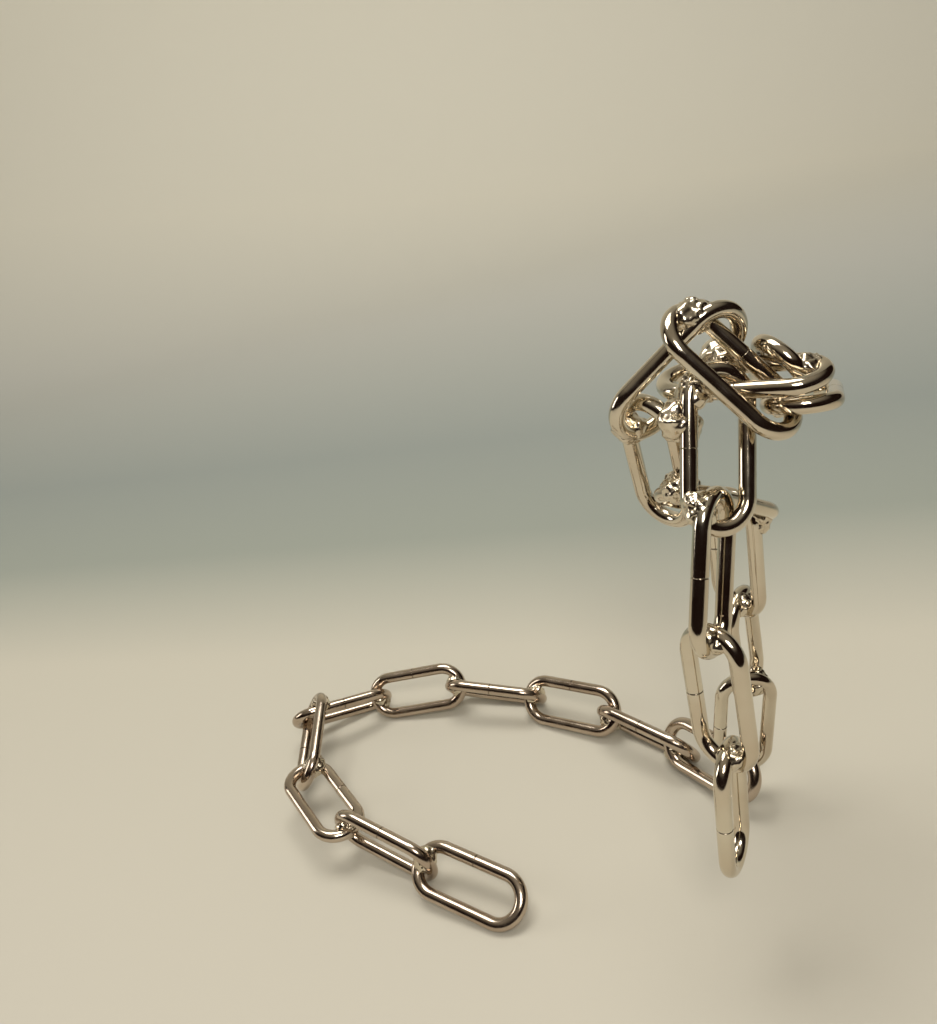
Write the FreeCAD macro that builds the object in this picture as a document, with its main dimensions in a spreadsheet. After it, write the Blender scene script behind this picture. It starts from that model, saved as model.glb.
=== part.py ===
import FreeCAD, Part
import math
import os

from FreeCAD import Placement, Rotation, Vector

os.makedirs("parts", exist_ok=True)
doc = FreeCAD.newDocument("BottleHolder")

# Driving dimensions, in millimetres.
# A link is one round wire bent to a long loop, with a shallow groove where its two ends were butted.
# Links are welded to each other where they hook, with a root gap that the weld bead fills.
DIMENSIONS = {
    "wire_diameter": 5.0,
    "link_length": 49.0,
    "link_width": 22.5,
    "seam_groove_width": 0.5,
    "root_gap": 0.15,
    "bead_diameter": 8.2,
    "wide_bead_diameter": 9.6,
}

# The course of the chain, from the free end on the table to the free end of the tail.
# Heading, rise and roll turn each link from lying flat along X, in whole degrees.
# A link hooks the one before it at "on", degrees round that link's end bend from its crown, and
# with "by", the same on its own start bend. More than 90 degrees lies on the leg beyond the bend.
COURSE = [
    # name, heading, rise, roll, on, by
    ("foot_link_01", 196, 6, 146, 0, 0),
    ("foot_link_02", 195, 10, 84, 19, 31),
    ("foot_link_03", 171, 3, -173, -15, 11),
    ("foot_link_04", 136, 10, -51, 42, -58),
    ("foot_link_05", 70, -11, 127, -22, 108),
    ("foot_link_06", 40, 6, 65, -5, -14),
    ("foot_link_07", 29, -5, 128, 3, 19),
    ("foot_link_08", 15, 4, 56, 19, 20),
    ("foot_link_09", 4, -2, 119, -29, -24),
    ("foot_link_10", 353, 6, 62, -104, -39),
    ("riser_link_1", 43, 83, 94, 127, 72),
    ("riser_link_2", 289, 86, -96, -41, -18),
    ("riser_link_3", 114, 86, -32, 3, -12),
    ("noose_link_under", 265, 37, 18, -74, 21),
    ("noose_link_front_left", 287, 81, -17, 9, 149),
    ("noose_link_top_left", 56, 35, -71, -100, 36),
    ("noose_link_top_back", 20, -48, 10, -86, 46),
    ("noose_link_back", 120, -19, 179, 72, -84),
    ("noose_link_back_right", 309, 39, 129, -31, -32),
    ("noose_link_top_right", 202, -2, 1, -58, -47),
    ("noose_link_front_right", 297, -57, 144, 110, 55),
    ("tail_link_1", 289, -63, 97, 65, 49),
    ("tail_link_2", 315, -80, -134, 7, -8),
    ("tail_link_3", 287, -84, 87, -24, 2),
]
TABLE_LINKS = ["foot_link_%02d" % number for number in (1, 2, 5, 6, 7, 8, 9)]

# Welds where the noose crosses itself, between links that don't hook each other.
CROSSINGS = {
    "weld_mass_top": ("noose_link_top_left", "noose_link_top_right"),
    "weld_mass_front": ("noose_link_front_left", "noose_link_front_right"),
}


def add_dimensions():
    """Write the driving dimensions into a sheet, one named cell each."""
    sheet = doc.addObject("Spreadsheet::Sheet", "dims")
    for row, (alias, value) in enumerate(DIMENSIONS.items(), start=1):
        sheet.set("A%d" % row, alias)
        sheet.set("B%d" % row, str(value))
        sheet.setAlias("B%d" % row, alias)
    doc.recompute()
    return sheet


dims = add_dimensions()
bend_radius = (dims.link_width - dims.wire_diameter) / 2
half_leg = (dims.link_length - dims.link_width) / 2
touching = dims.wire_diameter + dims.root_gap
SEATING_TOLERANCE = 0.001
SEATING_ROUNDS = 200
START_BEND, END_BEND = -1, 1
UP = Vector(0, 0, 1)


def flat_centreline():
    """The closed centreline of a link that lies flat along X."""
    corners = {}
    for side in (START_BEND, END_BEND):
        for leg in (-1, 1):
            corners[side, leg] = Vector(side * half_leg, leg * bend_radius, 0)
    edges = []
    for side in (START_BEND, END_BEND):
        crown = Vector(side * (half_leg + bend_radius), 0, 0)
        edges.append(Part.Arc(corners[side, -1], crown, corners[side, 1]).toShape())
    for leg in (-1, 1):
        edges.append(Part.LineSegment(corners[START_BEND, leg], corners[END_BEND, leg]).toShape())
    return Part.Wire(Part.__sortEdges__(edges))


def spot(side, degrees):
    """Point, tangent and inward direction on a flat centreline, by degrees round one of its bends."""
    past_bend = abs(degrees) - 90
    if past_bend <= 0:
        angle = math.radians(degrees)
        out = Vector(side * math.cos(angle), math.sin(angle), 0)
        tangent = Vector(-side * math.sin(angle), math.cos(angle), 0)
        return Vector(side * half_leg, 0, 0) + out * bend_radius, tangent, -out
    leg = math.copysign(1, degrees)
    run = bend_radius * math.radians(past_bend)
    return Vector(side * (half_leg - run), leg * bend_radius, 0), Vector(1, 0, 0), Vector(0, -leg, 0)


CENTRELINE = flat_centreline()


def placed(placement):
    """The centreline moved to a link's place."""
    wire = CENTRELINE.copy()
    wire.Placement = placement
    return wire


def moved(placement, shift):
    return Placement(placement.Base + shift, placement.Rotation)


def seated(before, link, on_table):
    """Push a link off the one before it, or draw it near, until their wires stand a root gap apart."""
    for _ in range(SEATING_ROUNDS):
        distance, nearest = placed(before).distToShape(placed(link))[:2]
        if abs(distance - touching) < SEATING_TOLERANCE:
            return link
        apart = nearest[0][1] - nearest[0][0]
        if on_table:
            apart.z = 0
        link = moved(link, apart.normalize() * (touching - distance))
    raise ValueError("a link finds no seat on the one before it")


def drop_of(turn):
    """How far a link's underside lies below its centre."""
    down = turn.inverted().multVec(-UP)
    return half_leg * abs(down.x) + bend_radius * math.hypot(down.x, down.y) + dims.wire_diameter / 2


def walk():
    """Placements of all links: each hooks the one before it and stands a root gap off its wire."""
    places = {}
    before = None
    for name, heading, rise, roll, on, by in COURSE:
        turn = Rotation(heading, -rise, roll)
        if before is None:
            place = Placement(Vector(0, 0, drop_of(turn)), turn)
        else:
            point, tangent, inward = spot(END_BEND, on)
            own_point, own_tangent, own_inward = spot(START_BEND, by)
            inward = before.Rotation.multVec(inward)
            own_inward = turn.multVec(own_inward)
            across = before.Rotation.multVec(tangent).cross(turn.multVec(own_tangent)).normalize()
            if across.dot(inward - own_inward) < 0:
                across = -across
            place = Placement(before.multVec(point) + across * touching - turn.multVec(own_point), turn)
            if name in TABLE_LINKS:
                place.Base.z = drop_of(turn)
            place = seated(before, place, name in TABLE_LINKS)
        places[name] = place
        before = place
    return places


def bind(feature, **sizes):
    """Tie the sizes of a feature to the sheet."""
    for size, expression in sizes.items():
        feature.setExpression(size.replace("__", "."), expression)


WIRE = "dims.wire_diameter / 2"
BEND = "(dims.link_width - dims.wire_diameter) / 2"
LEG = "dims.link_length - dims.link_width"


def add_link(name, placement):
    """One wire loop: two half rings, two legs, and the groove of the butt seam round one leg."""
    pieces = []
    for side, label in ((END_BEND, "end_bend"), (START_BEND, "start_bend")):
        bend = doc.addObject("Part::Torus", "%s_%s" % (name, label))
        bind(bend, Radius1=BEND, Radius2=WIRE)
        bend.Angle3 = 180
        turned = -90 if side == END_BEND else 90
        bend.Placement = Placement(Vector(), Rotation(UP, turned))
        bind(bend, Placement__Base__x="%d * (%s) / 2" % (side, LEG))
        pieces.append(bend)
    for leg, label in ((1, "far_leg"), (-1, "near_leg")):
        rod = doc.addObject("Part::Cylinder", "%s_%s" % (name, label))
        bind(rod, Radius=WIRE, Height=LEG)
        rod.Placement = Placement(Vector(), Rotation(Vector(0, 1, 0), 90))
        bind(rod, Placement__Base__x="-(%s) / 2" % LEG, Placement__Base__y="%d * (%s)" % (leg, BEND))
        pieces.append(rod)
    loop = doc.addObject("Part::MultiFuse", name + "_loop")
    loop.Shapes = pieces
    seam = doc.addObject("Part::Torus", name + "_seam")
    bind(seam, Radius1=WIRE, Radius2="dims.seam_groove_width / 2")
    seam.Placement = Placement(Vector(), Rotation(Vector(0, 1, 0), 90))
    bind(seam, Placement__Base__y=BEND)
    link = doc.addObject("Part::Cut", name)
    link.Base = loop
    link.Tool = seam
    link.Label = name
    link.Placement = placement
    return link


def run_at(placement, point):
    """Which way a link's wire runs at a point of its centreline."""
    flat = placement.inverse().multVec(point)
    past = max(abs(flat.x) - half_leg, 0)
    run = Vector(-flat.y, math.copysign(past, flat.x), 0) if past else Vector(1, 0, 0)
    return placement.Rotation.multVec(run.normalize())


def add_bead(name, size, first, second):
    """A weld bead: a ball where two wires pass closest, cut to seat on both of them.

    Its poles point at the wires and its seam lies midway between their two runs.
    """
    near, far = placed(first.Placement).distToShape(placed(second.Placement))[1][0]
    run, other_run = run_at(first.Placement, near), run_at(second.Placement, far)
    midway = run + other_run if run.dot(other_run) > 0 else run - other_run
    ball = doc.addObject("Part::Sphere", name + "_ball")
    bind(ball, Radius="dims.%s / 2" % size)
    ball.Placement = Placement((near + far) / 2, Rotation(midway, Vector(), far - near, "ZXY"))
    trimmed = doc.addObject("Part::Cut", name + "_trimmed")
    trimmed.Base = ball
    trimmed.Tool = first
    bead = doc.addObject("Part::Cut", name)
    bead.Base = trimmed
    bead.Tool = second
    bead.Label = name
    return bead


def centred(places):
    """The same placements with the base centre of their box at the origin."""
    box = FreeCAD.BoundBox()
    for place in places.values():
        box.add(placed(place).BoundBox)
    shift = Vector(-box.Center.x, -box.Center.y, dims.wire_diameter / 2 - box.ZMin)
    return {name: moved(place, shift) for name, place in places.items()}


places = centred(walk())
links = {name: add_link(name, place) for name, place in places.items()}
subparts = list(links.values())
names = [entry[0] for entry in COURSE]
for before, name in zip(names, names[1:]):
    subparts.append(add_bead("weld_" + name, "bead_diameter", links[before], links[name]))
for name, (before, after) in CROSSINGS.items():
    subparts.append(add_bead(name, "wide_bead_diameter", links[before], links[after]))

doc.recompute()
for item in doc.Objects:
    if "Invalid" in item.State or "Error" in item.State:
        raise RuntimeError("%s did not build: %s" % (item.Name, item.State))
for part in subparts:
    if part.Shape.isNull() or not part.Shape.isValid():
        raise RuntimeError("%s has no valid shape" % part.Label)
for part in subparts:
    part.Shape.exportStep("parts/%s.step" % part.Label)
    print("%-18s solids %d volume %8.1f" % (part.Label, len(part.Shape.Solids), part.Shape.Volume))
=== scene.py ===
"""A balancing holder made of a rigid, welded and plated chain, in a plain studio."""
import math
import random

import bmesh
import bpy
import numpy as np
from mathutils import Matrix, Vector, noise


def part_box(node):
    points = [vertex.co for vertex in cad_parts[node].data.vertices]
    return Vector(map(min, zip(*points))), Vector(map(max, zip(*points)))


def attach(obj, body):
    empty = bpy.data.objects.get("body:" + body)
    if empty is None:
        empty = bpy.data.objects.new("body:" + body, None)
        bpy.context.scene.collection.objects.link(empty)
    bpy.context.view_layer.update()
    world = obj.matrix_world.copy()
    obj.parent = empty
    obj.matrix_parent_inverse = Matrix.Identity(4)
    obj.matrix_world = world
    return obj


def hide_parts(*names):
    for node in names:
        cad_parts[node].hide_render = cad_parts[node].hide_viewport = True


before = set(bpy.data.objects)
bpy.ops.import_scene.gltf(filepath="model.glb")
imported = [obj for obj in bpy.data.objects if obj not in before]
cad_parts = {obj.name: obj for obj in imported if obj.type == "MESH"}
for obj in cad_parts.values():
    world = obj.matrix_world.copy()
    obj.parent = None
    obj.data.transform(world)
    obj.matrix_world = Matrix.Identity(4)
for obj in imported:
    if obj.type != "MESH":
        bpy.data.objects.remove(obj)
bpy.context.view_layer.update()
MM = 0.001
UP = Vector((0, 0, 1))

# The camera looks down on the foot from the front right and is rolled clockwise.
CAMERA_PLACE = Vector((0.22936, -0.15934, 0.29243))
CAMERA_AZIMUTH = math.radians(55.0)
CAMERA_PITCH = math.radians(29.27)
CAMERA_ROLL = math.radians(-14.93)
FOCAL_LENGTH = 32.16
SENSOR_SIZE = 36.0
CLIP_START = 0.01
RIGHT = Vector((math.cos(CAMERA_AZIMUTH), math.sin(CAMERA_AZIMUTH), 0))
AHEAD = Vector((-math.sin(CAMERA_AZIMUTH), math.cos(CAMERA_AZIMUTH), 0))


def linear(hex_colour):
    """An sRGB hex colour as linear red, green, blue and alpha."""
    channels = [int(hex_colour[i:i + 2], 16) / 255 for i in (1, 3, 5)]
    return [c / 12.92 if c <= 0.04045 else ((c + 0.055) / 1.055) ** 2.4 for c in channels] + [1.0]


def add_node(tree, kind, inputs=None, output=0, **settings):
    """Add a node with its settings and inputs, and give back the socket of one of its outputs.

    An input that is another node's socket is linked, and a hex colour is made linear.
    """
    node = tree.nodes.new(kind)
    for key, value in settings.items():
        setattr(node, key, value)
    for name, value in (inputs or {}).items():
        if isinstance(value, bpy.types.NodeSocket):
            tree.links.new(value, node.inputs[name])
        else:
            node.inputs[name].default_value = linear(value) if isinstance(value, str) else value
    return node.outputs[output] if node.outputs else None


def set_tones(socket, tones):
    """Give the colour ramp of a socket its tones, each with its place along the ramp."""
    stops = socket.node.color_ramp.elements
    while len(stops) < len(tones):
        stops.new(0.5)
    for stop, (position, colour) in zip(stops, tones):
        stop.position = position
        stop.color = linear(colour)


def new_material(name, look):
    """A Principled material. Its look gives the shader's inputs, from object coordinates."""
    material = bpy.data.materials.new(name)
    material.use_nodes = True
    tree = material.node_tree
    tree.nodes.clear()
    inputs = look(tree, add_node(tree, "ShaderNodeTexCoord", output="Object"))
    surface = add_node(tree, "ShaderNodeBsdfPrincipled", inputs, "BSDF")
    add_node(tree, "ShaderNodeOutputMaterial", {"Surface": surface})
    return material


# Patterns of the plating: how wide a patch is, how high a wave stands, how far the painted shade in
# seams and close corners reaches.
# The grain is drawn coarser than it is, because the real one is too fine to show.
TONE_PATCH = 24 * MM
HAZE_PATCH = 7 * MM
DRAWN_WAVE = 5 * MM
DRAWN_HEIGHT = 0.12 * MM
GRAIN_SIZE = 0.6 * MM
GRAIN_HEIGHT = 0.02 * MM
PAINTED_SHADE_REACH = 0.5 * MM
WELD_PATCH = 3 * MM
RIPPLE_SIZE = 1.2 * MM
RIPPLE_HEIGHT = 0.13 * MM
PAINTED_GROOVE_SHADE = "#3A2A20"
PORE_BROWN = "#4A3826"
# Most of a noise lies between these two values, and most of the painted shade in seam grooves between
# the next two.
NOISE_RANGE = {"From Min": 0.3, "From Max": 0.7}
PAINTED_SHADE_RANGE = {"From Min": 0.55, "From Max": 0.92}


def plated_wire(name, thick, thin, smooth, hazy):
    """Nickel-gold plating on bent wire: bright, a little wavy from the drawing of the wire, hazy
    where it is handled, warmer where the plating is thin, and painted dark with shade in seam grooves
    and close contacts."""
    def look(tree, place):
        patches = add_node(tree, "ShaderNodeTexNoise",
                           {"Vector": place, "Scale": 1 / TONE_PATCH, "Detail": 3})
        wear = add_node(tree, "ShaderNodeMapRange", {"Value": patches, **NOISE_RANGE})
        plating = add_node(tree, "ShaderNodeMix", {"Factor": wear, "A": thick, "B": thin},
                           "Result", data_type="RGBA")
        # Painted shade: ambient occlusion darkens the plating towards a dark brown in seam grooves
        # and where wires and welds touch.
        shade = add_node(tree, "ShaderNodeAmbientOcclusion", {"Distance": PAINTED_SHADE_REACH}, "AO")
        groove_shade_mask = add_node(tree, "ShaderNodeMapRange", {"Value": shade, **PAINTED_SHADE_RANGE})
        colour = add_node(tree, "ShaderNodeMix",
                          {"Factor": groove_shade_mask, "A": PAINTED_GROOVE_SHADE, "B": plating},
                          "Result", data_type="RGBA")
        handled = add_node(tree, "ShaderNodeTexNoise",
                           {"Vector": place, "Scale": 1 / HAZE_PATCH, "Detail": 5})
        haze = add_node(tree, "ShaderNodeMapRange",
                        {"Value": handled, **NOISE_RANGE, "To Min": smooth, "To Max": hazy})
        drawn = add_node(tree, "ShaderNodeTexNoise",
                         {"Vector": place, "Scale": 1 / DRAWN_WAVE, "Detail": 1})
        waves = add_node(tree, "ShaderNodeBump",
                         {"Height": drawn, "Strength": 0.25, "Distance": DRAWN_HEIGHT})
        grain = add_node(tree, "ShaderNodeTexNoise",
                         {"Vector": place, "Scale": 1 / GRAIN_SIZE, "Detail": 2})
        peel = add_node(tree, "ShaderNodeBump", {"Height": grain, "Normal": waves,
                                                 "Strength": 0.12, "Distance": GRAIN_HEIGHT})
        return {"Metallic": 1.0, "Base Color": colour, "Roughness": haze, "Normal": peel}

    return new_material(name, look)


def plated_weld():
    """The same plating over weld metal: rippled, duller in its hollows and brown inside its pores."""
    def look(tree, place):
        hollow = add_node(tree, "ShaderNodeAttribute", output="Fac", attribute_name="hollow")
        patches = add_node(tree, "ShaderNodeTexNoise",
                           {"Vector": place, "Scale": 1 / WELD_PATCH, "Detail": 3})
        wear = add_node(tree, "ShaderNodeMapRange", {"Value": patches, **NOISE_RANGE})
        plating = add_node(tree, "ShaderNodeMix", {"Factor": wear, "A": "#E2D9C6", "B": "#C8BAA3"},
                           "Result", data_type="RGBA")
        colour = add_node(tree, "ShaderNodeMix", {"Factor": hollow, "A": plating, "B": PORE_BROWN},
                          "Result", data_type="RGBA")
        haze = add_node(tree, "ShaderNodeMapRange", {"Value": hollow, "To Min": 0.2, "To Max": 0.6})
        ripples = add_node(tree, "ShaderNodeTexNoise",
                           {"Vector": place, "Scale": 1 / RIPPLE_SIZE, "Detail": 3})
        bump = add_node(tree, "ShaderNodeBump",
                        {"Height": ripples, "Strength": 0.45, "Distance": RIPPLE_HEIGHT})
        return {"Metallic": 1.0, "Base Color": colour, "Roughness": haze, "Normal": bump}

    return new_material("plated_weld", look)


WIRE = plated_wire("plated_wire", thick="#DDD5C3", thin="#CBBDA8", smooth=0.07, hazy=0.17)
# The foot's copy of the plating is hazier from handling. Its darker, rosier colour is a painted
# reflection of a dim, warm room, not the plating's own tone.
FOOT_WIRE_PAINTED_REFLECTION = plated_wire("plated_foot_wire_painted_reflection", thick="#CCBEAD", thin="#B09F8E", smooth=0.12, hazy=0.24)
WELD = plated_weld()

for name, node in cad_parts.items():
    node.data.materials.clear()
    node.data.materials.append(FOOT_WIRE_PAINTED_REFLECTION if name.startswith("foot") else WIRE)


def add_piece(name, form, material):
    """A smooth piece of one material, made from a finished bmesh."""
    mesh = bpy.data.meshes.new(name)
    form.to_mesh(mesh)
    form.free()
    mesh.shade_smooth()
    mesh.materials.append(material)
    piece = bpy.data.objects.new(name, mesh)
    bpy.context.scene.collection.objects.link(piece)
    return piece


# Each weld's reach round its centre, and how many pores it has.
LIGHT_WELD = (4.2 * MM, 5)
HEAVY_WELDS = {
    "weld_mass_top": (5.9 * MM, 16),
    "weld_mass_front": (5.4 * MM, 12),
    "weld_noose_link_front_right": (5.3 * MM, 14),
    "weld_noose_link_top_back": (5.0 * MM, 14),
    "weld_noose_link_front_left": (5.0 * MM, 12),
    "weld_noose_link_top_left": (4.7 * MM, 8),
    "weld_noose_link_top_right": (4.6 * MM, 8),
}
WELD_SEED = 104
WELD_FINENESS = 5
# How far the metal climbs along the wires, as a share of its reach, and how narrow that stays.
WETTING = 0.3
WETTING_POWER = 6
# The lumps of the frozen metal, coarse and fine: a share of its reach, and how many stand round it.
LUMPS = ((0.2, 1.5), (0.11, 3.4))
# Each weld draws its own place in a room of noise this wide.
NOISE_ROOM = 50
PORE_RADIUS = (0.45 * MM, 1.0 * MM)
PORE_DEPTH = 0.75 * MM
NEAR_WELD = 7 * MM
# Weld metal on the table is flat where it meets it.
TABLE_TOP = 0.02 * MM


def points_of(name):
    """The corners of a node's mesh."""
    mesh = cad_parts[name].data
    corners = np.empty(len(mesh.vertices) * 3)
    mesh.vertices.foreach_get("co", corners)
    return corners.reshape(-1, 3)


LINK_POINTS = {name: points_of(name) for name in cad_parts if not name.startswith("weld")}


def nearest_links(centre):
    """The two links that a weld joins."""
    reach = {}
    for name, points in LINK_POINTS.items():
        reach[name] = np.linalg.norm(points - centre, axis=1).min()
    return sorted(reach, key=reach.get)[:2]


def run_near(name, centre):
    """Which way a link's wire runs near a point."""
    points = LINK_POINTS[name]
    near = points[np.linalg.norm(points - centre, axis=1) < NEAR_WELD]
    return Vector(np.linalg.svd(near - near.mean(axis=0), full_matrices=False)[2][0])


def weld_lump(name, radius, pores, seed):
    """A frozen drop of weld metal round a weld node: uneven, with pores, and wetting both wires."""
    rng = random.Random(seed)
    low, high = (np.array(corner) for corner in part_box(name))
    centre = (low + high) / 2
    runs = [run_near(link, centre) for link in nearest_links(centre)]
    pits = []
    for _ in range(pores):
        way = Vector([rng.gauss(0, 1) for _ in range(3)]).normalized()
        pits.append((way, rng.uniform(*PORE_RADIUS) / radius))
    shift = Vector([rng.uniform(0, NOISE_ROOM) for _ in range(3)])
    form = bmesh.new()
    bmesh.ops.create_icosphere(form, subdivisions=WELD_FINENESS, radius=1.0)
    hollow = form.verts.layers.float.new("hollow")
    for corner in form.verts:
        way = corner.co.normalized()
        wetting = sum(abs(way.dot(run)) ** WETTING_POWER for run in runs)
        uneven = sum(share * noise.noise(way * count + shift) for share, count in LUMPS)
        reach = radius * (1 + WETTING * wetting + uneven)
        for pit, pit_radius in pits:
            apart = way.angle(pit) / pit_radius
            if apart < 1:
                depth = (1 - apart * apart) ** 2
                reach -= PORE_DEPTH * depth
                corner[hollow] = max(corner[hollow], depth)
        corner.co = way * reach
    bmesh.ops.transform(form, matrix=Matrix.Translation(Vector(centre)), verts=form.verts)
    for corner in form.verts:
        corner.co.z = max(corner.co.z, TABLE_TOP)
    lump = add_piece(name + "_lump", form, WELD)
    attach(lump, "root")
    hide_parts(name)


WELD_NAMES = sorted(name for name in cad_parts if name.startswith("weld"))
for number, name in enumerate(WELD_NAMES):
    weld_lump(name, *HEAVY_WELDS.get(name, LIGHT_WELD), WELD_SEED + number)


# The paper sweep: half its width, where its floor starts and ends, and the curve up to its height.
SWEEP_REACH = 1.7
SWEEP_FRONT = -0.75
SWEEP_BACK = 0.75
SWEEP_RADIUS = 0.4
SWEEP_HEIGHT = 2.2
SWEEP_STEPS = 16
# Where the painted shade band is measured from: how far right of the camera's place and ahead of it,
# and how that line is turned.
SHADE_LINE_PLACE = (-0.068, 0.42)
SHADE_LINE_TURN = math.radians(-20.0)
# Tones of the paper and its painted shade band, from so far before that line to so far beyond it.
TONES_BEFORE, TONES_BEYOND = 0.4, 1.6
PAPER_AND_PAINTED_SHADE_TONES = (
    (0.0, "#C2BCAF"),
    (0.19, "#BCB7A8"),
    (0.245, "#93978D"),
    (0.31, "#8E938D"),
    (0.46, "#B4B3AA"),
    (0.64, "#D3CEBE"),
    (0.87, "#E2DDCD"),
)


def paper_with_painted_shade():
    """Matt uncoated paper: warm grey-beige and pale, with a band of painted grey shade across it, and
    paler farther back.
    """
    def look(tree, place):
        turn = CAMERA_AZIMUTH + SHADE_LINE_TURN
        beyond = Vector((-math.sin(turn), math.cos(turn), 0))
        shade_line = beyond.dot(CAMERA_PLACE + RIGHT * SHADE_LINE_PLACE[0] + AHEAD * SHADE_LINE_PLACE[1])
        # Painted shade: the ramp darkens the paper to grey in a band across it, and makes it paler
        # farther back.
        along = add_node(tree, "ShaderNodeVectorMath", {0: place, 1: beyond + UP}, "Value",
                         operation="DOT_PRODUCT")
        span = {"From Min": shade_line - TONES_BEFORE, "From Max": shade_line + TONES_BEYOND}
        across = add_node(tree, "ShaderNodeMapRange", {"Value": along, **span})
        tones = add_node(tree, "ShaderNodeValToRGB", {"Fac": across}, "Color")
        set_tones(tones, PAPER_AND_PAINTED_SHADE_TONES)
        return {"Base Color": tones, "Roughness": 0.85, "Specular IOR Level": 0.15}

    return new_material("paper_with_painted_shade", look)


def paper_sweep():
    """A pale seamless sweep: a floor that turns up into a backdrop behind the holder."""
    profile = [(SWEEP_FRONT, 0.0)]
    for step in range(SWEEP_STEPS + 1):
        angle = step * math.pi / 2 / SWEEP_STEPS
        curve = Vector((math.sin(angle), 1 - math.cos(angle))) * SWEEP_RADIUS
        profile.append((SWEEP_BACK + curve.x, curve.y))
    profile.append((SWEEP_BACK + SWEEP_RADIUS, SWEEP_HEIGHT))
    form = bmesh.new()
    corners = [form.verts.new((-SWEEP_REACH, depth, height)) for depth, height in profile]
    edges = [form.edges.new(pair) for pair in zip(corners, corners[1:])]
    grown = bmesh.ops.extrude_edge_only(form, edges=edges)["geom"]
    far = [item for item in grown if isinstance(item, bmesh.types.BMVert)]
    bmesh.ops.translate(form, vec=(2 * SWEEP_REACH, 0, 0), verts=far)
    bmesh.ops.transform(form, matrix=Matrix.Rotation(CAMERA_AZIMUTH, 4, "Z"), verts=form.verts)
    add_piece("sweep", form, paper_with_painted_shade())


paper_sweep()


# Soft panels that face the middle of the holder: place, width and height, watts and colour.
MIDDLE = Vector((0.0, 0.0, 0.08))
PANELS = {
    "key_panel": ((0.55, -0.35, 0.85), (0.3, 0.3), 4.0, "#FFF9F0"),
    "overhead_panel": ((-0.25, 0.15, 1.2), (0.8, 0.5), 9.0, "#FFFCF6"),
    "side_panel": ((-0.9, -0.75, 0.5), (0.3, 0.6), 2.5, "#FFF9F0"),
}
# The room: its walls by height, as the metal mirrors them, and the level light on matt surfaces.
WALL_TONES = ((0.5, "#1C100C"), (0.9, "#8F8778"))
ROOM_LIGHT = "#E8E6E0"
ROOM_STRENGTH = 0.45


def soft_panel(name, place, size, watts, colour):
    """A soft light panel that faces the middle of the holder."""
    lamp = bpy.data.lights.new(name, "AREA")
    lamp.shape = "RECTANGLE"
    lamp.size, lamp.size_y = size
    lamp.energy = watts
    lamp.color = linear(colour)[:3]
    panel = bpy.data.objects.new(name, lamp)
    panel.location = place
    panel.rotation_euler = (MIDDLE - Vector(place)).to_track_quat("-Z", "Y").to_euler()
    bpy.context.scene.collection.objects.link(panel)


def studio_room():
    """A dim room: pale level light on matt surfaces, and dark walls that polished metal mirrors."""
    world = bpy.data.worlds.new("studio_world")
    world.use_nodes = True
    tree = world.node_tree
    tree.nodes.clear()
    way = add_node(tree, "ShaderNodeTexCoord", output="Generated")
    height = add_node(tree, "ShaderNodeSeparateXYZ", {"Vector": way}, "Z")
    walls = add_node(tree, "ShaderNodeValToRGB", {"Fac": height}, "Color")
    set_tones(walls, WALL_TONES)
    mirrored = add_node(tree, "ShaderNodeBackground", {"Color": walls})
    level = add_node(tree, "ShaderNodeBackground", {"Color": ROOM_LIGHT, "Strength": ROOM_STRENGTH})
    glossy = add_node(tree, "ShaderNodeLightPath", output="Is Glossy Ray")
    mixed = add_node(tree, "ShaderNodeMixShader", {"Fac": glossy, 1: level, 2: mirrored})
    add_node(tree, "ShaderNodeOutputWorld", {"Surface": mixed})
    bpy.context.scene.world = world


for name, panel in PANELS.items():
    soft_panel(name, *panel)
studio_room()


def camera_at_photo_angle():
    """The camera, placed so that the holder stands in the frame as it does in the photograph."""
    forward = AHEAD * math.cos(CAMERA_PITCH) - UP * math.sin(CAMERA_PITCH)
    up = AHEAD * math.sin(CAMERA_PITCH) + UP * math.cos(CAMERA_PITCH)
    rolled_right = RIGHT * math.cos(CAMERA_ROLL) + up * math.sin(CAMERA_ROLL)
    rolled_up = up * math.cos(CAMERA_ROLL) - RIGHT * math.sin(CAMERA_ROLL)
    lens = bpy.data.cameras.new("camera")
    lens.lens = FOCAL_LENGTH
    lens.sensor_width = SENSOR_SIZE
    lens.clip_start = CLIP_START
    turn = Matrix((rolled_right, rolled_up, -forward)).transposed().to_4x4()
    camera = bpy.data.objects.new("camera", lens)
    camera.matrix_world = Matrix.Translation(CAMERA_PLACE) @ turn
    bpy.context.scene.collection.objects.link(camera)
    bpy.context.scene.camera = camera


camera_at_photo_angle()
bpy.context.scene.view_settings.view_transform = "Standard"
